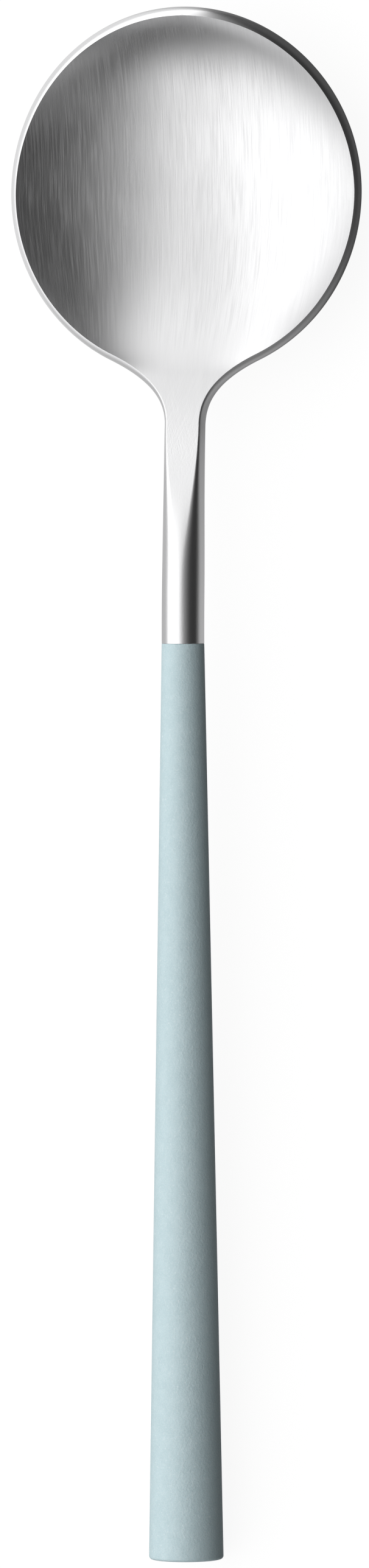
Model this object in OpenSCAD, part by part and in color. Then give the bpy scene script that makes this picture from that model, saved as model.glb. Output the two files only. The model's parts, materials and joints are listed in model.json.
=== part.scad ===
// Tablespoon lying on its back. Millimetres, +Z up from the table.
// +Y runs from the butt of the handle to the tip of the bowl, X runs across the bowl.
// The origin is under the middle of the spoon's length, on the table.

/* [Bowl] */
// Width across the rim
bowl_w = 48.1; // [40:0.1:54]
// Length of the bowl's oval, from the tip to where it would close at the neck
bowl_l = 50; // [44:0.1:58]
// Depth of the dish below the rim at its sides
bowl_depth = 7.2; // [6:0.1:9]
// Steel thickness at the bottom of the dish
bowl_wall = 1.8; // [1.4:0.1:2.4]
// Height of the rim at the tip above the rim at the sides
tip_rise = 3; // [0:0.1:5]
// How full the dish is toward the tip: 2 is a parabola, more keeps it deep for longer
tip_full = 3; // [2:0.1:4]
// How full the dish is toward its sides
side_full = 2.4; // [2:0.1:3]
// How full it is toward its sides near the neck, where its floor is flatter
root_full = 4; // [2:0.1:5]
// How long the dish keeps its depth toward the neck: more is longer
root_hold = 3; // [2:0.1:4]
// How softly it runs out there: more is softer
root_fade = 2; // [1.5:0.1:3]
// Distance from the waist to where it has run out
root_gap = 6.5; // [0:0.5:8]
// Steel thickness at the rim
rim_t = 1.5; // [1.1:0.05:1.7]
// Width of the rounded rim along the sides, seen from above
rim_w = 0.82; // [0.5:0.01:1.2]
// Width of the rounded rim at the tip
rim_tip_w = 1.25; // [0.6:0.05:1.6]
// Outward slope of the rim's top, in degrees
rim_tilt = 29; // [0:1:40]

/* [Neck] */
// Length from the end of the bowl's oval to the handle
neck_l = 36; // [32:0.5:50]
// Diameter of the round end, flush with the handle's mouth
neck_d = 5.76; // [5.2:0.02:7]
// Length that is fully round, measured from the handle
round_l = 6; // [3:0.5:18]
// Width of the bowl where its oval runs into the shoulders
shoulder_w = 20.5; // [16:0.1:24]
// Length of the shoulders, from the oval to the waist
shoulder_l = 8.8; // [7:0.1:12]
// Width at the waist, the narrowest place
waist_w = 5.4; // [4.4:0.1:5.8]
// Thickness at the waist
waist_t = 3.2; // [2.4:0.1:4.4]
// Width of the rounded edge beside the waist's flat top
waist_edge_w = 0.55; // [0.3:0.05:1.2]
// Height of that edge, from the flat top down to its outermost point
waist_edge_h = 2; // [0.6:0.05:2.4]
// Length over which the top line sweeps down from the handle to the rim
sweep_l = 46; // [40:0.5:54]

/* [Handle] */
// Length along its axis
handle_l = 124; // [100:1:150]
// Diameter at the butt
butt_d = 10.1; // [8:0.1:13]
// Rounding of the butt's edge
butt_r = 0.45; // [0.3:0.05:1.5]
// Slope of the handle while the spoon lies on the table, in degrees
handle_tilt = 2; // [1.5:0.1:4.5]

/* [Joint] */
// Diameter of the tang
tang_d = 3.4; // [2.8:0.1:4]
// Length of the tang in the handle
tang_l = 70; // [60:1:85]
// Chamfer at the tang's end
tang_chamfer = 0.6; // [0.2:0.1:1]
// Clearance between tang and bore, filled with adhesive
bond_gap = 0.15; // [0.1:0.01:0.3]
// Room for adhesive beyond the tang's end
bond_well = 1.5; // [0.5:0.1:4]
// Number of grooves that key the adhesive
groove_n = 6; // [3:1:7]
// Width of a groove
groove_w = 1.4; // [0.8:0.1:2.4]
// Depth of a groove
groove_depth = 0.35; // [0.15:0.05:0.6]
// Distance from groove to groove
groove_pitch = 8; // [5:0.5:9]
// Distance from the handle's mouth to the first groove
groove_start = 10; // [5:0.5:14]

/* [Hidden] */
$fn = 96;

// Half sizes
bowl_a = bowl_w / 2;
bowl_b = bowl_l / 2;
neck_r = neck_d / 2;
butt_half = butt_d / 2;
tang_r = tang_d / 2;
bore_r = tang_r + bond_gap;
bore_l = tang_l + bond_well;
// Length of the tang's root inside the neck, and how far a cut starts outside the face it opens
tang_root = 6;
cut_over = 1;
// Steps of the butt's rounding
butt_steps = 6;

// Half angle of the handle's taper, and the distance from its axis to the middle of the butt's rounding
taper = atan((butt_half - neck_r) / handle_l);
round_r = butt_half - butt_r * (1 + sin(taper)) / cos(taper);
// Handle: the butt's lower edge rests on the table, the mouth is higher by the slope
butt_z = round_r * cos(handle_tilt) + butt_r - butt_r * sin(handle_tilt);
butt_reach = round_r * sin(handle_tilt) + butt_r - butt_r * cos(handle_tilt);
mouth_z = butt_z + handle_l * sin(handle_tilt);
spoon_l = bowl_l + neck_l + handle_l * cos(handle_tilt) + butt_reach;

// Places along the spoon
mouth_y = spoon_l / 2 - bowl_l - neck_l;
bowl_y = spoon_l / 2 - bowl_b;
round_y = mouth_y + round_l;
oval_end = 180 - asin(shoulder_w / bowl_w);
shoulder_y = bowl_y + bowl_b * cos(oval_end);
waist_y = shoulder_y - shoulder_l;
// Slope of the outline where the oval ends, width gained per length
shoulder_slope = -bowl_a / bowl_b / tan(oval_end);

// Heights
rim_z = bowl_depth + bowl_wall;
mouth_top = mouth_z + neck_r;

// Angles round an edge, measured from its top. The bowl's rim turns past its outermost point and under.
// Along the neck the underside starts earlier, and as the neck turns round its edges grow until they meet,
// so that the top takes over their first part.
nose_turn = 145;
rod_top = 48;
rod_low = 108;
// The waist's edge is no higher than the steel is thick
waist_h = min(waist_edge_h, waist_t / (1 - cos(rod_low)));

// How finely the head is divided: places along it, points across the top, round a rim and under
oval_n = 38;
shoulder_n = 10;
neck_n = 18;
top_n = 21;
nose_n = 5;
under_n = 15;
ring_n = top_n + 2 * nose_n + under_n;

function mix(a, b, u) = a + (b - a) * u;
function clamp(u) = min(max(u, 0), 1);
function smooth(u) = let (v = clamp(u)) v * v * (3 - 2 * v);
// Cubic from a with slope sa at u = 0 to b with slope sb at u = 1
function cubic(u, a, sa, b, sb) =
    a * (2 * u ^ 3 - 3 * u ^ 2 + 1) + sa * (u ^ 3 - 2 * u ^ 2 + u)
    + b * (3 * u ^ 2 - 2 * u ^ 3) + sb * (u ^ 3 - u ^ 2);
function cubic_slope(u, a, sa, b, sb) =
    (a - b) * (6 * u ^ 2 - 6 * u) + sa * (3 * u ^ 2 - 4 * u + 1) + sb * (3 * u ^ 2 - 2 * u);

// Top line of the head at y: level along the bowl, rising to the tip and to the neck
function sweep_u(y) = clamp((y - mouth_y) / sweep_l);
function cap(y) =
    y > bowl_y
        ? rim_z + tip_rise * ((y - bowl_y) / bowl_b) ^ 2
        : cubic(sweep_u(y), mouth_top, sweep_l * tan(handle_tilt), rim_z, 0);
function cap_slope(y) =
    cubic_slope(sweep_u(y), mouth_top, sweep_l * tan(handle_tilt), rim_z, 0) / sweep_l;

// Distance from the bowl's middle toward the waist, 0 to 1
function run(y) = clamp((bowl_y - y) / (bowl_y - waist_y));
// Depth of the dish below the top line, along the middle
function dish(y) =
    y > bowl_y
        ? bowl_depth * (1 - clamp((y - bowl_y) / (bowl_b - rim_tip_w)) ^ tip_full)
        : bowl_depth * (1 - clamp((bowl_y - y) / (bowl_y - waist_y - root_gap)) ^ root_hold) ^ root_fade;

// Stations from the tip to the handle:
// [y, half width, outward normal x, y, edge width, edge height, edge slope's drop, roundness]
function rim_drop(w) = w * tan(rim_tilt);
function rim_h(w) = (rim_t - rim_drop(w) * sin(nose_turn)) / (1 - cos(nose_turn));
function oval_at(a) =
    let (
        n = [bowl_b * sin(a), bowl_a * cos(a)],
        w = mix(rim_w, rim_tip_w, max(cos(a), 0))
    )
    [bowl_y + bowl_b * cos(a), bowl_a * sin(a), n.x / norm(n), n.y / norm(n), w, rim_h(w), rim_drop(w), 0];
function shoulder_at(u) =
    let (
        grow = shoulder_slope * shoulder_l,
        n = [1, -cubic_slope(u, waist_w / 2, 0, shoulder_w / 2, grow) / shoulder_l]
    )
    [
        waist_y + u * shoulder_l,
        cubic(u, waist_w / 2, 0, shoulder_w / 2, grow),
        n.x / norm(n),
        n.y / norm(n),
        mix(waist_edge_w, rim_w, smooth(u)),
        mix(waist_h, rim_h(rim_w), smooth(u)),
        mix(0, rim_drop(rim_w), smooth(u)),
        0
    ];
function neck_at(y) =
    let (u = smooth((waist_y - y) / (waist_y - round_y)))
    [
        y,
        mix(waist_w / 2, neck_r, u),
        1,
        0,
        mix(waist_edge_w, neck_r, u),
        mix(waist_h, neck_r, u),
        0,
        u
    ];

stations = concat(
    [for (i = [0:oval_n]) oval_at(oval_end * i / oval_n)],
    [for (i = [1:shoulder_n]) shoulder_at(1 - i / shoulder_n)],
    [for (i = [1:neck_n]) neck_at(mix(waist_y, mouth_y, i / neck_n))]
);

// Where the top ends on an edge and where the underside starts
function top_turn(s) = mix(0, rod_top, s[7]);
function low_turn(s) = mix(nose_turn, rod_low, run(s[0]) ^ 3);
function edge_drop(s, a) = s[6] * sin(a) + s[5] * (1 - cos(a));

// Section at a station: a point round its edge (angle from its top), across the top and under (-1 to 1)
function edge_point(s, side, a) =
    let (in = s[4] * (1 - sin(a)))
    [
        side * (s[1] - in * s[2]),
        s[0] - in * s[3],
        cap(s[0] - s[4] * s[3]) - edge_drop(s, a)
    ];
function top_point(s, v) =
    let (
        y = s[0] - s[4] * s[3],
        flat = max(s[1] - s[4] * s[2], 0),
        share = s[7] > 0 ? flat / (flat + s[4] * top_turn(s) * PI / 180) : 1,
        t = abs(v) / share
    )
    t <= 1
        ? [sign(v) * t * flat, y, cap(y) - dish(y) * (1 - t ^ mix(side_full, root_full, run(y)))]
        : edge_point(s, sign(v), top_turn(s) * (abs(v) - share) / (1 - share));
function belly(s, y) =
    dish(y) * (bowl_depth + bowl_wall - rim_t) / bowl_depth
    + max(mix(waist_t, neck_d, s[7]) - edge_drop(s, low_turn(s)), 0) * run(y) ^ 3;
function under_point(s, v) =
    let (e = edge_point(s, 1, low_turn(s)))
    [v * e.x, e.y, e.z - belly(s, e.y) * (1 - abs(v) ^ mix(side_full, 2, run(e.y)))];
// Round section, square to the neck's line: a is measured from the top
function rod_point(s, a) =
    let (tilt = atan(cap_slope(s[0])))
    [
        s[1] * sin(a),
        s[0] - s[1] * cos(a) * sin(tilt),
        cap(s[0]) - s[1] + s[1] * cos(a) * cos(tilt)
    ];
function blend(s, p, a) = mix(p, rod_point(s, a), s[7] ^ 4);

function side_point(s, side, k) =
    let (u = k / nose_n)
    blend(s, edge_point(s, side, mix(top_turn(s), low_turn(s), u)), side * mix(rod_top, rod_low, u));
function ring(s) = concat(
    [for (j = [0:top_n - 1]) let (v = 2 * j / (top_n - 1) - 1) blend(s, top_point(s, v), v * rod_top)],
    [for (k = [1:nose_n]) side_point(s, 1, k)],
    [
        for (j = [1:under_n])
            let (v = 1 - 2 * j / (under_n + 1))
            blend(s, under_point(s, v), 180 - v * (180 - rod_low))
    ],
    [for (k = [nose_n:-1:1]) side_point(s, -1, k)]
);

// At the tip the ring has no width: one top point and one run of rim points serve both sides
tip_points = concat(
    [top_point(stations[0], 0)],
    [for (k = [1:nose_n]) edge_point(stations[0], 0, nose_turn * k / nose_n)]
);
function tip_index(j) =
    j < top_n ? 0
    : j < top_n + nose_n ? j - top_n + 1
    : j < top_n + nose_n + under_n ? nose_n
    : nose_n - (j - top_n - nose_n - under_n);
function index(i, j) = i == 0 ? tip_index(j) : nose_n + 1 + (i - 1) * ring_n + j;
function is_face(f) = f[0] != f[1] && f[1] != f[2] && f[2] != f[0];
last = len(stations) - 1;
head_points = concat(tip_points, [for (i = [1:last]) each ring(stations[i])]);
head_faces = concat(
    [
        for (i = [0:last - 1], j = [0:ring_n - 1])
            let (k = (j + 1) % ring_n)
            each [
                for (f = [
                    [index(i, j), index(i, k), index(i + 1, k)],
                    [index(i, j), index(i + 1, k), index(i + 1, j)]
                ])
                    if (is_face(f)) f
            ]
    ],
    [[for (j = [0:ring_n - 1]) index(last, j)]]
);

// Places its children on the handle's axis: z = 0 at the mouth, z growing toward the butt
module on_handle_axis() {
    translate([0, mouth_y, mouth_z])
        rotate([90 + handle_tilt, 0, 0])
            children();
}

// Tang with its grooves, rooted in the neck
module tang_form() {
    rotate_extrude()
        polygon(concat(
            [[0, -tang_root], [tang_r, -tang_root]],
            [
                for (i = [0:groove_n - 1])
                    let (z = groove_start + i * groove_pitch)
                    each [
                        [tang_r, z],
                        [tang_r - groove_depth, z + groove_depth],
                        [tang_r - groove_depth, z + groove_w - groove_depth],
                        [tang_r, z + groove_w]
                    ]
            ],
            [[tang_r, tang_l - tang_chamfer], [tang_r - tang_chamfer, tang_l], [0, tang_l]]
        ));
}

module spoon_head() {
    color("silver")
        union() {
            polyhedron(head_points, head_faces, convexity = 8);
            on_handle_axis()
                tang_form();
        }
}

module bond() {
    color([0.86, 0.82, 0.68])
        on_handle_axis()
            difference() {
                cylinder(r = bore_r, h = bore_l);
                tang_form();
            }
}

module handle() {
    color([0.72, 0.82, 0.85])
        on_handle_axis()
            difference() {
                rotate_extrude()
                    polygon(concat(
                        [[0, 0], [neck_r, 0]],
                        [
                            for (i = [0:butt_steps])
                                let (a = mix(-taper, 90, i / butt_steps))
                                [round_r + butt_r * cos(a), handle_l - butt_r + butt_r * sin(a)]
                        ],
                        [[0, handle_l]]
                    ));
                translate([0, 0, -cut_over])
                    cylinder(r = bore_r, h = bore_l + cut_over);
            }
}

spoon_head();
bond();
handle();
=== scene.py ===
# %% [markdown]
# A table spoon. One steel forging makes the bowl, the neck and a hidden tang, and the tang is glued
# into a tapered resin handle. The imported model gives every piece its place, so it is loaded first
# and nothing is fitted by eye. The model's box is kept, because the dressed spoon has to stay
# inside it.

# %% Load the frame
import json
import math

import bmesh
import bpy
import numpy as np
from mathutils import Matrix, Vector


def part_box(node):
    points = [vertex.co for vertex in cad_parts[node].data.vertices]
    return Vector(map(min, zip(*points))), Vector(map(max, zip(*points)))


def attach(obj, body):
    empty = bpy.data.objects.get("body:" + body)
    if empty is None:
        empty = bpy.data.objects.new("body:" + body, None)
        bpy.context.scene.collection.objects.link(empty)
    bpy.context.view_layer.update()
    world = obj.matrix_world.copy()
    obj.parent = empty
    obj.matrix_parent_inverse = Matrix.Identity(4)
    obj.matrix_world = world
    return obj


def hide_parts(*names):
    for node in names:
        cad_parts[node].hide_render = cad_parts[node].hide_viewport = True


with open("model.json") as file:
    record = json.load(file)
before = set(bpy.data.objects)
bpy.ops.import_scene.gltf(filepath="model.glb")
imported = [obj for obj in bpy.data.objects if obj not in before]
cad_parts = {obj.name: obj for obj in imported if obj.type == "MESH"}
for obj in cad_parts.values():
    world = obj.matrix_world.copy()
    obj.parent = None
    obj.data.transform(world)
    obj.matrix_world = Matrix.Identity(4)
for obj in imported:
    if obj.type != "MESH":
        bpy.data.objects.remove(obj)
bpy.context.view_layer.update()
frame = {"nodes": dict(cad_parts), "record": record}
print("nodes:", sorted(frame["nodes"]))

# %% [markdown]
# Sizes come from the frame where it holds them. The butt's mount gives the end of the handle and
# its slope, and the steel node's box gives the tip and the width of the bowl. The rest are the
# maker's own sizes, written once each.

# %% Sizes of the bowl and the neck
MM = 0.001
head_low, head_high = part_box("spoon_head")
tip_y = head_high.y
bowl_a = (head_high.x - head_low.x) / 2
bowl_b = 50 * MM / 2
bowl_depth = 7.2 * MM
bowl_wall = 1.8 * MM
tip_rise = 3 * MM
tip_full = 3
side_full = 2.4
root_full = 4
rod_full = 2
root_hold = 3
root_fade = 2
root_gap = 6.5 * MM
root_blend = 3
rod_blend = 4
rim_t = 1.5 * MM
rim_w = 0.82 * MM
rim_tip_w = 1.25 * MM
rim_tilt = math.radians(29)
neck_r = 5.76 * MM / 2
round_l = 6 * MM
shoulder_half = 20.5 * MM / 2
shoulder_l = 8.8 * MM
waist_half = 5.4 * MM / 2
waist_t = 3.2 * MM
waist_edge_w = 0.55 * MM
waist_edge_h = 2 * MM
sweep_l = 46 * MM
print(f"bowl {2000 * bowl_a:.2f} mm wide, tip at {1000 * tip_y:.2f} mm")

# %% Sizes of the handle and the joint
handle_l = 124 * MM
butt_half = 10.1 * MM / 2
butt_round = 0.45 * MM
tang_r = 3.4 * MM / 2
tang_l = 70 * MM
tang_chamfer = 0.6 * MM
bore_r = tang_r + 0.15 * MM
bore_l = tang_l + 1.5 * MM
groove_n = 6
groove_w = 1.4 * MM
groove_depth = 0.35 * MM
groove_pitch = 8 * MM
groove_start = 10 * MM
edge_break = 0.05 * MM

# %% Places along the spoon
butt_mount = next(m for m in frame["record"]["mounts"] if m["name"] == "butt_end")
butt = Vector(butt_mount["pos_m"])
toward_butt = Vector(butt_mount["axis"]).normalized()
tilt = math.asin(-toward_butt.z)
handle_up = Vector((0.0, -math.sin(tilt), math.cos(tilt)))
mouth = butt - toward_butt * handle_l
bowl_y = tip_y - bowl_b
round_y = mouth.y + round_l
oval_end = math.pi - math.asin(shoulder_half / bowl_a)
shoulder_y = bowl_y + bowl_b * math.cos(oval_end)
waist_y = shoulder_y - shoulder_l
shoulder_slope = -bowl_a / bowl_b / math.tan(oval_end)
rim_z = bowl_depth + bowl_wall
mouth_top = mouth.z + neck_r
print(f"mouth at {1000 * mouth.y:.2f} mm, waist at {1000 * waist_y:.2f} mm")
print(f"handle slopes by {math.degrees(tilt):.2f} degrees")

# %% [markdown]
# The forging is drawn as a row of closed rings from the tip to the handle, the way a boat builder
# draws frames along a keel. A bent plate with thickness added would be quicker, but it can't turn
# from a dished bowl into a round rod. First come the lines along the middle: the upper line and
# the depth of the dish.

# %% Lines along the middle
def between(a, b, u):
    return a + (b - a) * u


def ease(u):
    v = np.clip(u, 0.0, 1.0)
    return v * v * (3.0 - 2.0 * v)


def cubic(u, a, slope_a, b, slope_b):
    ends = a * (2 * u**3 - 3 * u**2 + 1) + b * (3 * u**2 - 2 * u**3)
    return ends + slope_a * (u**3 - 2 * u**2 + u) + slope_b * (u**3 - u**2)


def cubic_slope(u, a, slope_a, b, slope_b):
    return (a - b) * (6 * u**2 - 6 * u) + slope_a * (3 * u**2 - 4 * u + 1) + slope_b * (3 * u**2 - 2 * u)


sweep_ends = (mouth_top, sweep_l * math.tan(tilt), rim_z, 0.0)


def top_line(y):
    swept = cubic(np.clip((y - mouth.y) / sweep_l, 0.0, 1.0), *sweep_ends)
    return np.where(y > bowl_y, rim_z + tip_rise * ((y - bowl_y) / bowl_b) ** 2, swept)


def top_slope(y):
    return cubic_slope(np.clip((y - mouth.y) / sweep_l, 0.0, 1.0), *sweep_ends) / sweep_l


def run(y):
    return np.clip((bowl_y - y) / (bowl_y - waist_y), 0.0, 1.0)


def dish(y):
    toward_tip = np.clip((y - bowl_y) / (bowl_b - rim_tip_w), 0.0, 1.0)
    toward_neck = np.clip((bowl_y - y) / (bowl_y - waist_y - root_gap), 0.0, 1.0)
    at_neck = (1 - toward_neck**root_hold) ** root_fade
    return bowl_depth * np.where(y > bowl_y, 1 - toward_tip**tip_full, at_neck)


print(f"rim {1000 * rim_z:.2f} mm high, dish {1000 * float(dish(bowl_y)):.2f} mm deep")

# %% [markdown]
# Each ring hangs on a station: its place along the spoon, the half width there, the way the outline
# faces, and the width, height and slope of the edge. The last number says how far the section has
# turned into a round rod. The rim leans outward, so that its inner line is the highest, as it is on
# a spoon that was ground from outside.

# %% Stations from the tip to the handle
OVAL_N = 190
SHOULDER_N = 44
NECK_N = 60
nose_turn = math.radians(145)


def rim_drop(width):
    return width * math.tan(rim_tilt)


def rim_h(width):
    return (rim_t - rim_drop(width) * math.sin(nose_turn)) / (1 - math.cos(nose_turn))


def oval_stations():
    a = np.linspace(0.0, oval_end, OVAL_N + 1)
    face = np.array([bowl_b * np.sin(a), bowl_a * np.cos(a)])
    face = face / np.linalg.norm(face, axis=0)
    edge_w = between(rim_w, rim_tip_w, np.maximum(np.cos(a), 0.0))
    edge = [edge_w, rim_h(edge_w), rim_drop(edge_w)]
    return [bowl_y + bowl_b * np.cos(a), bowl_a * np.sin(a), *face, *edge, 0 * a]


def shoulder_stations():
    u = 1 - np.arange(1, SHOULDER_N + 1) / SHOULDER_N
    ends = (waist_half, 0.0, shoulder_half, shoulder_slope * shoulder_l)
    face = np.array([np.ones_like(u), -cubic_slope(u, *ends) / shoulder_l])
    face = face / np.linalg.norm(face, axis=0)
    waist_edge = (waist_edge_w, waist_edge_h, 0.0)
    rim_edge = (rim_w, rim_h(rim_w), rim_drop(rim_w))
    edge = [between(low, high, ease(u)) for low, high in zip(waist_edge, rim_edge)]
    return [waist_y + u * shoulder_l, cubic(u, *ends), *face, *edge, 0 * u]


def neck_stations():
    y = np.linspace(waist_y, mouth.y + edge_break, NECK_N + 1)[1:]
    u = ease((waist_y - y) / (waist_y - round_y))
    edge = [between(waist_edge_w, neck_r, u), between(waist_edge_h, neck_r, u), 0 * u]
    return [y, between(waist_half, neck_r, u), np.ones_like(u), 0 * u, *edge, u]


stations = np.hstack([oval_stations(), shoulder_stations(), neck_stations()])
print("stations:", stations.shape[1])

# %% [markdown]
# A ring runs across the dish from left to right, over the right rim, back along the underside and
# up the left rim. Points crowd toward the rim, because the eye reads a spoon by the crisp line
# there. Along the neck the edges grow until they meet and make a round rod, and the top takes over
# the first part of each edge.

# %% Points of a section
TOP_N = 81
NOSE_N = 18
UNDER_N = 43
CROWDING = 1.6
TINY = 1e-9
rod_top = math.radians(48)
rod_low = math.radians(108)
spread = np.linspace(-1.0, 1.0, TOP_N)
top_share = np.sign(spread) * (1 - (1 - np.abs(spread)) ** CROWDING)
nose_share = np.arange(1, NOSE_N + 1) / NOSE_N
under_share = 1 - 2 * np.arange(1, UNDER_N + 1) / (UNDER_N + 1)
rod_side = between(rod_top, rod_low, nose_share)
rod_under = math.pi - under_share * (math.pi - rod_low)
rod_angle = np.concatenate([top_share * rod_top, rod_side, rod_under, -rod_side[::-1]])


def points(x, y, z):
    return np.stack(np.broadcast_arrays(x, y, z), axis=-1)


def upper(station, reach, turn):
    y, half, face_x, face_y, edge_w, edge_h, drop, _ = station
    flat = np.maximum(half - edge_w * face_x, 0.0)
    inner_y = y - edge_w * face_y
    out = np.sin(turn)
    hollow = dish(inner_y) * (1 - reach ** between(side_full, root_full, run(inner_y)))
    z = top_line(inner_y) - hollow - drop * out - edge_h * (1 - np.cos(turn))
    return points(reach * flat + edge_w * face_x * out, inner_y + edge_w * face_y * out, z)


def top_points(station):
    _, half, face_x, _, edge_w, _, _, roundness = station
    flat = np.maximum(half - edge_w * face_x, 0.0)
    bent = edge_w * rod_top * roundness
    share = np.where(roundness > 0, flat / np.maximum(flat + bent, TINY), 1.0)
    along = np.abs(top_share)
    reach = np.minimum(along / np.maximum(share, TINY), 1.0)
    beyond = np.maximum(along - share, 0.0) / np.maximum(1 - share, TINY)
    return upper(station, reach, rod_top * roundness * beyond) * points(np.sign(top_share), 1.0, 1.0)


print("points across the top:", TOP_N, "round an edge:", NOSE_N, "under:", UNDER_N)

# %% Rings of the forging
def belly(station, y, low_turn):
    edge_h, drop, roundness = station[5:]
    nose = drop * np.sin(low_turn) + edge_h * (1 - np.cos(low_turn))
    thick = np.maximum(between(waist_t, 2 * neck_r, roundness) - nose, 0.0)
    return dish(y) * (rim_z - rim_t) / bowl_depth + thick * run(y) ** root_blend


def dished_rings(station):
    y, *_, roundness = station
    low_turn = between(nose_turn, rod_low, run(y) ** root_blend)
    nose = upper(station, 1.0, between(rod_top * roundness, low_turn, nose_share))
    edge = nose[:, -1:, :]
    fullness = between(side_full, rod_full, run(edge[..., 1]))
    drop = belly(station, edge[..., 1], low_turn) * (1 - np.abs(under_share) ** fullness)
    under = points(under_share * edge[..., 0], edge[..., 1], edge[..., 2] - drop)
    return np.concatenate([top_points(station), nose, under, nose[:, ::-1] * (-1, 1, 1)], axis=1)


def rod_rings(y, half):
    lean = np.arctan(top_slope(y))
    up = half * np.cos(rod_angle)
    return points(half * np.sin(rod_angle), y - up * np.sin(lean), top_line(y) - half + up * np.cos(lean))


columns = stations[:, :, None]
column_y, column_half, *_, turned = columns
rods = rod_rings(column_y, column_half)
head_rings = between(dished_rings(columns), rods, turned[..., None] ** rod_blend)
print("rings of", head_rings.shape[1], "points")

# %% [markdown]
# The tang goes on from the neck as one piece of steel. It can't be seen on the finished spoon, but
# the forging would be wrong without it: a shoulder that meets the handle's mouth, six grooves that
# key the glue, a chamfered end.

# %% Rings of the tang
def tang_profile():
    profile = [(0.0, neck_r - edge_break), (0.0, tang_r)]
    for k in range(groove_n):
        start = groove_start + k * groove_pitch
        floor_r = tang_r - groove_depth
        profile += [(start, tang_r), (start + groove_depth, floor_r)]
        profile += [(start + groove_w - groove_depth, floor_r), (start + groove_w, tang_r)]
    return profile + [(tang_l - tang_chamfer, tang_r), (tang_l, tang_r - tang_chamfer)]


def axis_ring(along, radius):
    across = np.outer(np.sin(rod_angle), (1.0, 0.0, 0.0)) + np.outer(np.cos(rod_angle), handle_up)
    return np.array(mouth + toward_butt * along) + radius * across


tang_rings = np.array([axis_ring(along, radius) for along, radius in tang_profile()])
print("tang rings:", len(tang_rings))

# %% [markdown]
# The rings become one closed skin. The tip's ring has no width, so its points are merged there. A
# crease is kept where the dish meets the rim, and a value called lip marks the polished rim for the
# finish that comes later.

# %% The forging as a mesh
LIP_END = 8 * MM
LIP_FADE = 10 * MM
MERGE = 1e-7
CREASE = math.radians(17)


def skin(rings):
    rows, count = rings.shape[:2]
    index = np.arange(rows * count).reshape(rows, count)
    turned = np.roll(index, -1, axis=1)
    quads = np.stack([index[:-1], index[1:], turned[1:], turned[:-1]], axis=-1).reshape(-1, 4)
    centre = rows * count
    cap = [(int(a), centre, int(b)) for a, b in zip(index[-1], turned[-1])]
    corners = np.vstack([rings.reshape(-1, 3), rings[-1].mean(axis=0)])
    return corners, quads.tolist() + cap


def lip_values():
    across = np.zeros(rod_angle.size)
    across[TOP_N - 1 : TOP_N + NOSE_N] = 1.0
    across[-NOSE_N:] = 1.0
    across[0] = 1.0
    along = ease((stations[0] - waist_y - LIP_END + LIP_FADE) / LIP_FADE)
    marks = np.outer(np.concatenate([along, np.zeros(len(tang_rings))]), across)
    return np.append(marks.ravel(), 0.0)


def make_forging():
    corners, faces = skin(np.concatenate([head_rings, tang_rings]))
    mesh = bpy.data.meshes.new("spoon_forging")
    mesh.from_pydata(corners.tolist(), [], faces)
    mesh.attributes.new("lip", "FLOAT", "POINT").data.foreach_set("value", lip_values())
    work = bmesh.new()
    work.from_mesh(mesh)
    bmesh.ops.remove_doubles(work, verts=work.verts, dist=MERGE)
    work.to_mesh(mesh)
    work.free()
    mesh.shade_smooth()
    mesh.set_sharp_from_angle(angle=CREASE)
    piece = bpy.data.objects.new("spoon_forging", mesh)
    bpy.context.scene.collection.objects.link(piece)
    return piece


forging = make_forging()
print("forging:", len(forging.data.vertices), "points,", len(forging.data.polygons), "faces")

# %% [markdown]
# Node trees are easier to read as sums than as boxes and wires. A Wire stands for one output
# socket: arithmetic on it adds Math nodes, and its node method adds any other node. The same class
# serves the handle's shape, the finishes and the studio light.

# %% Wires
class Wire:
    def __init__(self, tree, socket=None):
        self.tree = tree
        self.socket = socket

    def node(self, kind, settings=None, sockets=None, out=None):
        made = self.tree.nodes.new(kind)
        for name, value in (settings or {}).items():
            setattr(made, name, value)
        for name, value in (sockets or {}).items():
            target = next(s for s in made.inputs if s.identifier == name)
            if isinstance(value, Wire):
                self.tree.links.new(value.socket, target)
            else:
                target.default_value = value
        found = [s for s in made.outputs if out in (None, s.identifier)]
        return Wire(self.tree, found[0] if found else None)

    def other(self, identifier):
        return Wire(self.tree, next(s for s in self.socket.node.outputs if s.identifier == identifier))

    def maths(self, operation, first, second):
        return self.node("ShaderNodeMath", {"operation": operation}, {"Value": first, "Value_001": second})

    def rise(self, low, high, start=0.0, end=1.0):
        sockets = {"Value": self, "From Min": low, "From Max": high, "To Min": start, "To Max": end}
        return self.node("ShaderNodeMapRange", {"interpolation_type": "SMOOTHSTEP"}, sockets, "Result")

    def __add__(self, value):
        return self.maths("ADD", self, value)

    def __radd__(self, value):
        return self.maths("ADD", value, self)

    def __sub__(self, value):
        return self.maths("SUBTRACT", self, value)

    def __rsub__(self, value):
        return self.maths("SUBTRACT", value, self)

    def __mul__(self, value):
        return self.maths("MULTIPLY", self, value)

    def __rmul__(self, value):
        return self.maths("MULTIPLY", value, self)

    def __truediv__(self, value):
        return self.maths("DIVIDE", self, value)


# %% [markdown]
# The handle is turned, so its shape follows a rule: one half profile swept round an axis. The Screw
# modifier could do it, but a small node tree keeps the sizes as named inputs. The profile starts at
# the bottom of the bore, comes out at the mouth, runs down the taper and ends in the middle of the
# flat butt. Fillet Curve rounds the butt's edge and just breaks the edge at the mouth.

# %% Node tree of the turned handle
SEGMENTS = 144
ARC_STEPS = 10
MOUTH_CORNER = 3
BUTT_CORNER = 4
TURNED_MERGE = 1e-6
handle_sizes = {
    "Bore radius": bore_r,
    "Bore length": bore_l,
    "Mouth radius": neck_r,
    "Butt radius": butt_half,
    "Length": handle_l,
    "Butt rounding": butt_round,
    "Mouth break": edge_break,
}


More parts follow.
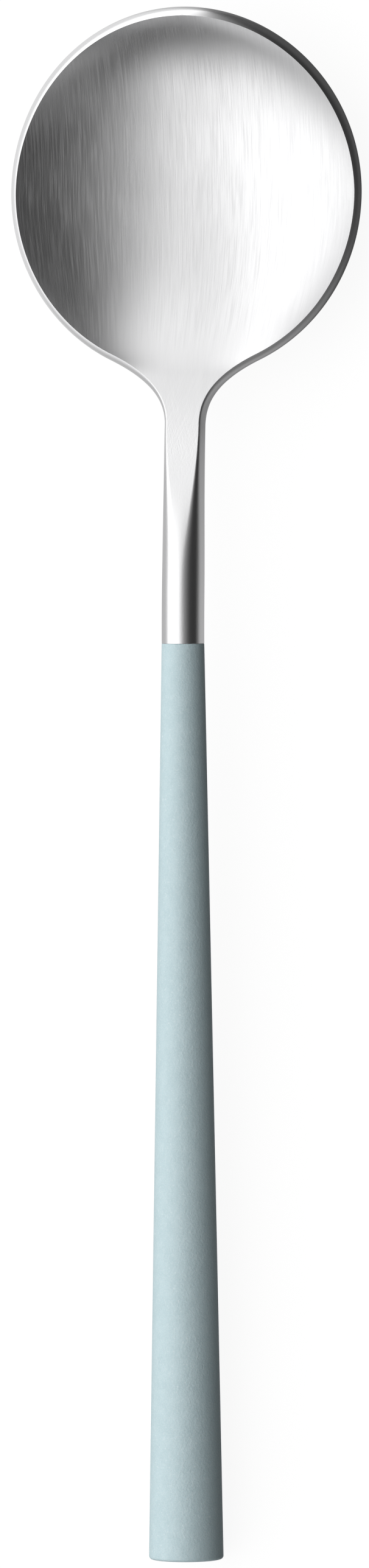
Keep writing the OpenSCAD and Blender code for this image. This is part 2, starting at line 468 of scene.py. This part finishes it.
def lathe_tree(finish):
    tree = bpy.data.node_groups.new("turned handle", "GeometryNodeTree")
    names = {}
    for name in handle_sizes:
        socket = tree.interface.new_socket(name, in_out="INPUT", socket_type="NodeSocketFloat")
        names[name] = socket.identifier
    tree.interface.new_socket("Geometry", in_out="OUTPUT", socket_type="NodeSocketGeometry")
    given = Wire(tree).node("NodeGroupInput")
    size = {name: given.other(identifier) for name, identifier in names.items()}
    axis_r = 0.5 * size["Mouth radius"]
    corners = [
        (0.0, size["Bore length"]),
        (size["Bore radius"], size["Bore length"]),
        (size["Bore radius"], 0.0),
        (size["Mouth radius"], 0.0),
        (size["Butt radius"], size["Length"]),
        (0.0, size["Length"]),
    ]
    index = given.node("GeometryNodeInputIndex")
    line = given.node("GeometryNodeMeshLine", {}, {"Count": len(corners)})
    at = []
    for number, (radius, along) in enumerate(corners):
        same = {"data_type": "INT", "operation": "EQUAL"}
        at.append(given.node("FunctionNodeCompare", same, {"A_INT": index, "B_INT": number}))
        spot = given.node("ShaderNodeCombineXYZ", {}, {"X": radius - axis_r, "Y": along})
        moved = {"Geometry": line, "Selection": at[-1], "Position": spot}
        line = given.node("GeometryNodeSetPosition", {}, moved)
    profile = given.node("GeometryNodeMeshToCurve", {}, {"Mesh": line})
    radius = size["Butt rounding"] * at[BUTT_CORNER] + size["Mouth break"] * at[MOUTH_CORNER]
    arcs = {"Curve": profile, "Count": ARC_STEPS, "Radius": radius, "Limit Radius": True}
    profile = given.node("GeometryNodeFilletCurve", {"mode": "POLY"}, arcs)
    round_axis = {"Resolution": SEGMENTS, "Radius": axis_r}
    circle = given.node("GeometryNodeCurvePrimitiveCircle", {}, round_axis, "Curve")
    turned = given.node("GeometryNodeCurveToMesh", {}, {"Curve": circle, "Profile Curve": profile})
    merged = given.node("GeometryNodeMergeByDistance", {}, {"Geometry": turned, "Distance": TURNED_MERGE})
    placing = {"Geometry": merged, "Translation": mouth, "Rotation": (tilt - math.pi / 2, 0.0, 0.0)}
    placed = given.node("GeometryNodeTransform", {}, placing)
    real = given.node("GeometryNodeRealizeInstances", {}, {"Geometry": placed})
    dressed = given.node("GeometryNodeSetMaterial", {}, {"Geometry": real, "Material": finish})
    given.node("NodeGroupOutput", {}, {tree.interface.items_tree[0].identifier: dressed})
    return tree, names


def make_handle(finish):
    tree, names = lathe_tree(finish)
    piece = bpy.data.objects.new("turned_handle", bpy.data.meshes.new("blank"))
    bpy.context.scene.collection.objects.link(piece)
    turning = piece.modifiers.new("turning", "NODES")
    turning.node_group = tree
    for name, identifier in names.items():
        turning[identifier] = handle_sizes[name]
    evaluated = piece.evaluated_get(bpy.context.evaluated_depsgraph_get())
    mesh = bpy.data.meshes.new_from_object(evaluated)
    piece.modifiers.clear()
    piece.data = mesh
    mesh.shade_smooth()
    mesh.set_sharp_from_angle(angle=CREASE)
    return piece


# %% [markdown]
# Every finish starts the same way: a material, a Wire on its tree, and the point's own place on the
# object. Noise that is squeezed across and drawn out along makes scratches, so the helpers take a
# size for each direction. A size says how many waves of the noise fit in a metre, and the height of
# a bump is in microns.

# %% Start of a finish
def new_finish(name):
    material = bpy.data.materials.new(name)
    material.use_nodes = True
    material.node_tree.nodes.clear()
    return material, Wire(material.node_tree)


def places(sheet):
    spot = sheet.node("ShaderNodeTexCoord", {}, {}, "Object")
    x = sheet.node("ShaderNodeSeparateXYZ", {}, {"Vector": spot}, "X")
    return x, x.other("Y"), x.other("Z")


def noise(x, y, z, detail, roughness):
    spot = x.node("ShaderNodeCombineXYZ", {}, {"X": x, "Y": y, "Z": z})
    sockets = {"Vector": spot, "Scale": 1.0, "Detail": detail, "Roughness": roughness}
    return x.node("ShaderNodeTexNoise", {}, sockets, "Fac")


def streaks(across, along, size, seed, detail=2.0, roughness=0.5):
    return noise(across * size[0], along * size[1], seed, detail, roughness)


def grains(place, sizes, detail=2.0, roughness=0.5):
    x, y, z = (axis * size for axis, size in zip(place, sizes))
    return noise(x, y, z, detail, roughness)


def mixed(factor, low, high):
    sockets = {"Factor_Float": factor, "A_Color": low, "B_Color": high}
    return factor.node("ShaderNodeMix", {"data_type": "RGBA"}, sockets, "Result_Color")


def mixed_number(factor, low, high):
    return low + factor * (high - low)


def principled(sheet, **sockets):
    named = {name.replace("_", " "): value for name, value in sockets.items()}
    return sheet.node("ShaderNodeBsdfPrincipled", {}, named)


def surface(sheet, **sockets):
    sheet.node("ShaderNodeOutputMaterial", {}, {"Surface": principled(sheet, **sockets)})


MICRON = 1e-6


def bumped(height):
    return height.node("ShaderNodeBump", {}, {"Strength": 1.0, "Distance": MICRON, "Height": height})


# %% [markdown]
# Brushed steel. A belt is drawn along the spoon, so the scratches run straight in the bowl and
# gather toward the neck. Scratches finer than a pixel spread the light across the bowl only, so the
# brushed shader is anisotropic. Its grain turns about a point in the handle, which the mesh's
# texture space sets. The scratches that can be seen are height, in layers: fine lines, deeper cuts,
# broad bundles and a few strays. They come in patches and grow shallow toward the waist, where the
# worker's hand left rubbed lines that cross. The neck is satined, and the rim is polished at the
# tip and duller toward the neck, so these two share a plain shader.

# %% Layers of scratches
PATCH_SIZE = (1000, 200)
PATCH_RISE = (0.3, 0.65, 0.55, 1.0)
LINE_SIZE = (6400, 130)
LINE_HEIGHT = 3.2
LINE_RISE = (-0.15, 0.15)
CUT_SIZE = (6800, 120)
CUT_RISE = (0.42, 0.62)
CUT_HEIGHT = 0.8
BUNDLE_SIZE = (2400, 110)
BUNDLE_HEIGHT = 9.0
STRAY_SIZE = (4300, 160)
STRAY_RISE = (0.66, 0.76)
STRAY_LEANS = (0.07, -0.05)
STRAY_HEIGHT = 2.0
CROSS_SIZE = (6500, 300)
CROSS_RISE = (0.45, 0.70)
CROSS_LEANS = (0.22, -0.42)
CROSS_HEIGHT = 1.5
SATIN_SIZE = (5200, 2600, 5200)
SATIN_HEIGHT = 4.0
WAVE_SIZE = (420, 420, 420)
WAVE_HEIGHT = 1.5


def stray_lines(across, along, lean):
    return streaks(across + along * lean, along, STRAY_SIZE, lean, 1.0).rise(*STRAY_RISE)


def cross_lines(x, y, lean):
    return streaks(x + y * lean, y - x * lean, CROSS_SIZE, lean).rise(*CROSS_RISE)


# %% Brushed steel
STEEL = (0.72, 0.72, 0.725, 1.0)
STEEL_WORN = (0.68, 0.68, 0.685, 1.0)
STEEL_BRIGHT = (0.82, 0.82, 0.825, 1.0)
GRAIN_CENTRE = (0.0, -0.12, 0.0)
GRAIN_SPACE = (0.3, 0.3, 0.3)
GRAIN = 0.85
NECK_GATHER = 0.8
WAIST_DEPTH = 0.25
RUBBED = 0.16
BRUSHED_ROUGH = 0.276
CUT_ROUGH = 0.10
NECK_ROUGH = 0.28
SATIN_ROUGH = 0.04
LIP_SATIN = 0.4
LIP_SMOOTH = 0.2
LIP_SPAN = (bowl_y - 8 * MM, bowl_y + 20 * MM)
NECK_SPAN = (waist_y + 7 * MM, waist_y - 4 * MM)
DEPTH_SPAN = (waist_y + 4 * MM, bowl_y)
CROSS_ABOVE = (waist_y + 12 * MM, waist_y + 2 * MM)
CROSS_BELOW = (waist_y - 9 * MM, waist_y - 2 * MM)


def brushed_steel():
    material, sheet = new_finish("brushed_steel")
    place = places(sheet)
    x, y, _ = place
    lip = sheet.node("ShaderNodeAttribute", {"attribute_name": "lip"}, {}, "Fac")
    neck = y.rise(*NECK_SPAN)
    near_waist = y.rise(*CROSS_ABOVE) * y.rise(*CROSS_BELOW)
    across = x / y.rise(waist_y, bowl_y, NECK_GATHER, 1.0)
    depth = y.rise(*DEPTH_SPAN, WAIST_DEPTH, 1.0)
    patches = depth * streaks(across, y, PATCH_SIZE, 5.0).rise(*PATCH_RISE)
    lines = patches * (streaks(across, y, LINE_SIZE, 0.0, 2.0, 0.6) - 0.5)
    cuts = patches * streaks(across, y, CUT_SIZE, 3.0, 2.0, 0.65).rise(*CUT_RISE)
    bundles = patches * streaks(across, y, BUNDLE_SIZE, 7.0, 2.0, 0.6)
    strays = depth * (stray_lines(across, y, STRAY_LEANS[0]) + stray_lines(across, y, STRAY_LEANS[1]))
    crossed = near_waist * (cross_lines(x, y, CROSS_LEANS[0]) + cross_lines(x, y, CROSS_LEANS[1]))
    satin = grains(place, SATIN_SIZE, 1.0)
    waves = grains(place, WAVE_SIZE, 1.0)
    raised = lines * LINE_HEIGHT + bundles * BUNDLE_HEIGHT + cuts * CUT_HEIGHT
    worn = mixed(lines.rise(*LINE_RISE), STEEL, STEEL_WORN)
    brushed = principled(
        sheet,
        Base_Color=mixed(crossed * RUBBED, worn, STEEL_BRIGHT),
        Metallic=1.0,
        Roughness=BRUSHED_ROUGH + CUT_ROUGH * cuts,
        Anisotropic=GRAIN,
        Normal=bumped(raised - strays * STRAY_HEIGHT - crossed),
    )
    lip_rough = y.rise(*LIP_SPAN, LIP_SATIN, LIP_SMOOTH)
    satined = satin * SATIN_HEIGHT - crossed * CROSS_HEIGHT
    plain = principled(
        sheet,
        Base_Color=mixed((1 - lip) * crossed * RUBBED, STEEL, STEEL_BRIGHT),
        Metallic=1.0,
        Roughness=mixed_number(lip, NECK_ROUGH + SATIN_ROUGH * satin, lip_rough),
        Normal=bumped((1 - lip) * satined + lip * waves * WAVE_HEIGHT),
    )
    finish = (1 - lip) * (1 - neck)
    both = sheet.node("ShaderNodeMixShader", {}, {"Fac": finish, "Shader": plain, "Shader_001": brushed})
    sheet.node("ShaderNodeOutputMaterial", {}, {"Surface": both})
    return material


steel = brushed_steel()
forging.data.materials.append(steel)
forging.data.use_auto_texspace = False
forging.data.texspace_location = GRAIN_CENTRE
forging.data.texspace_size = GRAIN_SPACE
print("steel nodes:", len(steel.node_tree.nodes))

# %% [markdown]
# The handle is a cast resin that was sanded matte. Seen close, it is cloudy and finely mottled,
# with short pale hairlines from the sanding and a few specks of filler. A flat colour with some
# gloss would look like toy plastic.

# %% Sanded resin
RESIN = (0.535, 0.672, 0.707, 1.0)
RESIN_PALE = (0.66, 0.765, 0.79, 1.0)
RESIN_DEEP = (0.50, 0.637, 0.672, 1.0)
RESIN_SPECK = (0.76, 0.84, 0.865, 1.0)
RESIN_ROUGH = 0.50
RESIN_SHINE = 0.25
CLOUD_SIZE = (700, 520, 700)
CLOUD_RISE = (0.32, 0.68)
CLOUD_ROUGH = 0.16
SAND_SIZE = (5200, 5200, 5200)
SAND_RISE = (0.40, 0.70)
SAND_SHARE = 0.35
SAND_HEIGHT = 10.0
MOTTLE_SIZE = (2900, 2900, 2900)
MOTTLE_HEIGHT = 50.0
HAIR_SIZE = (2600, 420, 2600)
HAIR_RISE = (0.62, 0.74)
HAIR_LEANS = (0.55, -0.4)
HAIR_SHARE = 0.2
HAIR_HEIGHT = 5.0
SPECK_SIZE = (3300, 3300, 3300)
SPECK_RISE = (0.74, 0.80)
SPECK_SHARE = 0.35


def hairlines(x, y, z, lean):
    return grains((x + y * lean, y - x * lean, z), HAIR_SIZE, 1.0).rise(*HAIR_RISE)


def sanded_resin():
    material, sheet = new_finish("sanded_resin")
    place = places(sheet)
    cloud = grains(place, CLOUD_SIZE, 4.0, 0.6)
    sand = grains(place, SAND_SIZE)
    mottle = grains(place, MOTTLE_SIZE, 2.0, 0.6)
    hairs = hairlines(*place, HAIR_LEANS[0]) + hairlines(*place, HAIR_LEANS[1])
    speck = grains(place, SPECK_SIZE, 0.0).rise(*SPECK_RISE)
    body = mixed(cloud.rise(*CLOUD_RISE), RESIN_DEEP, RESIN)
    body = mixed(SAND_SHARE * sand.rise(*SAND_RISE), body, RESIN_PALE)
    body = mixed(HAIR_SHARE * hairs, body, RESIN_PALE)
    body = mixed(SPECK_SHARE * speck, body, RESIN_SPECK)
    surface(
        sheet,
        Base_Color=body,
        Roughness=RESIN_ROUGH + CLOUD_ROUGH * cloud,
        Specular_IOR_Level=RESIN_SHINE,
        Normal=bumped(mottle * MOTTLE_HEIGHT + sand * SAND_HEIGHT + hairs * HAIR_HEIGHT),
    )
    return material


resin = sanded_resin()
handle = make_handle(resin)
print("handle:", len(handle.data.vertices), "points, resin nodes:", len(resin.node_tree.nodes))

# %% [markdown]
# The glue fills the bore and never shows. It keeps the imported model's own solid and gets a cloudy
# amber finish, so that a cut-open view still looks right.

# %% Cured adhesive
AMBER = (0.72, 0.64, 0.42, 1.0)
AMBER_CLOUD = (0.82, 0.77, 0.62, 1.0)
GLUE_SIZE = (900, 300, 900)
GLUE_RISE = (0.35, 0.7)
GLUE_ROUGH = 0.35
GLUE_CLOUD_ROUGH = 0.2
GLUE_HEIGHT = 20.0


def cured_adhesive():
    material, sheet = new_finish("cured_adhesive")
    cloud = grains(places(sheet), GLUE_SIZE, 3.0)
    surface(
        sheet,
        Base_Color=mixed(cloud.rise(*GLUE_RISE), AMBER, AMBER_CLOUD),
        Roughness=GLUE_ROUGH + GLUE_CLOUD_ROUGH * cloud,
        Normal=bumped(cloud * GLUE_HEIGHT),
    )
    return material


adhesive = cured_adhesive()
bond = frame["nodes"]["bond"]
bond.data.materials.clear()
bond.data.materials.append(adhesive)
print("adhesive nodes:", len(adhesive.node_tree.nodes))

# %% [markdown]
# The new pieces take the place of two nodes. They ride on the one body of the spoon, which has no
# moving parts.

# %% Pieces onto the frame
for piece, node, slot in ((forging, "spoon_head", "steel"), (handle, "handle", "resin")):
    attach(piece, "root")
    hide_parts(node)
    print(piece.name, "stands for", node)

# %% [markdown]
# The studio is one wide soft light from the upper left, a dark room on the right and a pale table.
# Metal shows what surrounds it, so the light is the world itself, shaped by the direction of each
# ray: x to the right, y toward the tip, z up. The dome has a full part and a weak edge to the right
# of it, and it fades low on the left and in front. Three weak floors lift the dark: in front, in
# the near right corner and behind.

# %% Soft studio light
DOME = 2.1
DOME_FROM = math.radians(14.5)
DOME_FULL = math.radians(-23)
DOME_EDGE = 0.165
EDGE_FROM = math.radians(47)
EDGE_FULL = math.radians(5)
LEFT_LOW = 0.25
LOW_FROM = math.radians(-91)
LOW_FULL = math.radians(-79)
SKEW_REACH = 0.45
SKEW_FRONT = math.radians(-3)
SKEW_BACK = math.radians(1.5)
FRONT_DIM = 0.1
FRONT = (-0.2, -0.75)
DIM_SPAN = (-0.2, -0.6)
SHADE_HEIGHT = (0.72, 0.0)
SHADE_SIDE = (-0.7, -0.1, 0.3, 1.0)
DARK = 0.04
FRONT_FLOOR = 0.45
FRONT_SIDE = (0.15, 0.5, 0.3, 1.0)
FRONT_HEIGHT = (0.28, 0.05)
CORNER_FLOOR = 0.14
CORNER_FRONT = (-0.3, -0.65)
CORNER_SIDE = (0.3, 0.5)
CORNER_HEIGHT = (0.75, 0.55)
BACK_FLOOR = 0.08
BACK = (0.1, 0.7)
BACK_HEIGHT = (0.5, 0.1)


def dome_share(x, y, z, front):
    side = x.maths("ARCTAN2", x, z)
    bent = side + y.rise(-SKEW_REACH, SKEW_REACH, SKEW_FRONT, SKEW_BACK)
    edge = bent.rise(EDGE_FROM, EDGE_FULL) * DOME_EDGE
    over = mixed_number(bent.rise(DOME_FROM, DOME_FULL), edge, 1.0)
    shade = front * z.rise(*SHADE_HEIGHT) * x.rise(*SHADE_SIDE)
    fade = y.rise(*DIM_SPAN, 1.0, 1.0 - FRONT_DIM) - shade
    low = bent.rise(LOW_FROM, LOW_FULL, LEFT_LOW, 1.0)
    return over * fade.maths("MAXIMUM", fade, 0.0) * low


def dark_room(x, y, z, front):
    in_front = front * x.rise(*FRONT_SIDE) * z.rise(*FRONT_HEIGHT)
    in_corner = y.rise(*CORNER_FRONT) * x.rise(*CORNER_SIDE) * z.rise(*CORNER_HEIGHT)
    behind = y.rise(*BACK) * z.rise(*BACK_HEIGHT)
    return DARK + in_front * FRONT_FLOOR + in_corner * CORNER_FLOOR + behind * BACK_FLOOR


def studio_light():
    world = bpy.data.worlds.new("studio")
    world.use_nodes = True
    world.node_tree.nodes.clear()
    sheet = Wire(world.node_tree)
    ray = sheet.node("ShaderNodeTexCoord", {}, {}, "Generated")
    x = sheet.node("ShaderNodeSeparateXYZ", {}, {"Vector": ray}, "X")
    y, z = x.other("Y"), x.other("Z")
    front = y.rise(*FRONT)
    strength = mixed_number(dome_share(x, y, z, front), dark_room(x, y, z, front), DOME)
    light = sheet.node("ShaderNodeBackground", {}, {"Strength": strength})
    sheet.node("ShaderNodeOutputWorld", {}, {"Surface": light})
    return world


bpy.context.scene.world = studio_light()
bpy.context.scene.view_settings.view_transform = "Standard"
print("light nodes:", len(bpy.context.scene.world.node_tree.nodes))

# %% [markdown]
# The table is a large pale sheet that takes the spoon's soft shadow. The camera sees it nearly
# white. The steel sees it glow a mid grey, with painted light to the left of the bowl and painted
# shade to the right of the spoon, deepest far to the right, away from the light.

# %% Pale table
TABLE_HALF = 6.0
TABLE = (0.12, 0.12, 0.12, 1.0)
CAMERA_GLOW = 0.92
GLOW = 0.5
# Painted light to the left of the bowl and painted shade to its right, in the glow the steel sees.
PAINTED_LIGHT_LEFT = 0.38
PAINTED_SHADE_RIGHT = -0.5
SIDE_REACH = 25 * MM
BOWL_SPAN = (42 * MM, 62 * MM)
FAR_SHADE_LEVEL = 0.15
FAR_SPAN = (20 * MM, 70 * MM)
NEAR_SHADE_LEVEL = 0.5
NEAR_SPAN = (18 * MM, 60 * MM)
NEAR_EDGE = 4 * MM


# The table's glow as the steel sees it: painted light left of the bowl, painted shade right of the bowl,
# beside the neck and far to the right.
def painted_shade_glow(x, y):
    painted_bowl_light_and_shade = y.rise(*BOWL_SPAN) * x.rise(SIDE_REACH, -SIDE_REACH, PAINTED_SHADE_RIGHT, PAINTED_LIGHT_LEFT)
    painted_far_shade = x.rise(*FAR_SPAN, 1.0, FAR_SHADE_LEVEL)
    painted_near_shade = mixed_number(x.rise(0.0, NEAR_EDGE), 1.0, y.rise(*NEAR_SPAN, 1.0, NEAR_SHADE_LEVEL))
    return (GLOW + painted_bowl_light_and_shade) * painted_far_shade * painted_near_shade


def table_finish():
    material, sheet = new_finish("pale_table")
    path = sheet.node("ShaderNodeLightPath", {}, {}, "Is Camera Ray")
    mirrored = path.other("Is Glossy Ray") + path.other("Is Transmission Ray")
    sheen = sheet.node("ShaderNodeBsdfDiffuse", {}, {"Color": TABLE})
    x, y, _ = places(sheet)
    # Camera rays see an even glow; glossy and transmission rays see the glow with its painted light and
    # shade.
    strength = path * CAMERA_GLOW + mirrored * painted_shade_glow(x, y)
    white = sheet.node("ShaderNodeEmission", {}, {"Strength": strength})
    both = sheet.node("ShaderNodeAddShader", {}, {"Shader": sheen, "Shader_001": white})
    sheet.node("ShaderNodeOutputMaterial", {}, {"Surface": both})
    return material


def pale_table():
    mesh = bpy.data.meshes.new("table")
    ends = (-TABLE_HALF, TABLE_HALF)
    mesh.from_pydata([(x, y, 0.0) for y in ends for x in ends], [], [(0, 1, 3, 2)])
    mesh.materials.append(table_finish())
    table = bpy.data.objects.new("table", mesh)
    bpy.context.scene.collection.objects.link(table)
    print(f"table {2 * TABLE_HALF:.0f} m wide")
    return table


pale_table()

# %% [markdown]
# The photograph looks straight down, and the spoon lies a little rolled in it, so the camera leans
# to the right. A long lens keeps the handle's edges as straight as they are there. From farther
# away they would be straighter still, but side views fit the spoon to the same lens, and it would
# then lie beyond their far limit.

# %% Camera
IMAGE_H = 2576
PIXELS_PER_METRE = 12157
CAMERA_ROLL = math.radians(10)
CAMERA_TURN = math.radians(0.14)
CAMERA_AWAY = 1.6
AIM_RIGHT = 0.19 * MM
AIM_AHEAD = 0.08 * MM


def look_down():
    lens = bpy.data.cameras.new("camera")
    lens.lens = lens.sensor_width * CAMERA_AWAY / (IMAGE_H / PIXELS_PER_METRE)
    camera = bpy.data.objects.new("camera", lens)
    bpy.context.scene.collection.objects.link(camera)
    back = Vector((math.sin(CAMERA_ROLL), 0.0, math.cos(CAMERA_ROLL)))
    level = Vector((math.cos(CAMERA_ROLL), 0.0, -math.sin(CAMERA_ROLL)))
    along = Vector((0.0, 1.0, 0.0))
    right = level * math.cos(CAMERA_TURN) + along * math.sin(CAMERA_TURN)
    turn = Matrix((right, back.cross(right), back)).transposed().to_4x4()
    aim = Vector((AIM_RIGHT, AIM_AHEAD, rim_z))
    camera.matrix_world = Matrix.Translation(aim + CAMERA_AWAY * back) @ turn
    return camera


bpy.context.scene.camera = look_down()
print(f"lens {bpy.context.scene.camera.data.lens:.1f} mm")
